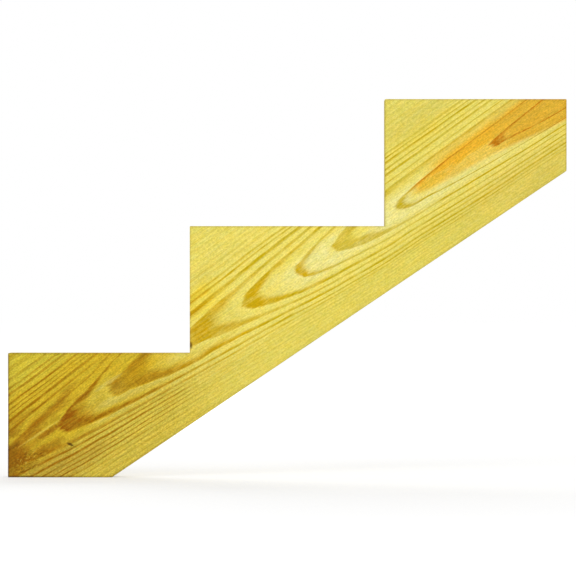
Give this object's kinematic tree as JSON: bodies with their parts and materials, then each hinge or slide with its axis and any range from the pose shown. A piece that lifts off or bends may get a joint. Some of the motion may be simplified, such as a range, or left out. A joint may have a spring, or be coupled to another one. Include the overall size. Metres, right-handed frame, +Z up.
{
  "type": "stair stringer",
  "caption": "Sawtooth-cut timber stair stringer with level tread cuts, plumb riser cuts, a level landing cut and a plumb header cut; carries the treads and risers of a short flight.",
  "frame": {"origin": "the toe: the foot of the first riser cut, on the landing, in mid-thickness", "axes": "+X up the flight, +Z up from the landing, +Y across the thickness; the pictured side faces -Y"},
  "size_m": [0.796, 0.038, 0.539],
  "materials": {
    "treated_pine": "matte"
  },
  "bodies": {
    "root": {"stringer_board": "treated_pine"}
  },
  "joints": []
}
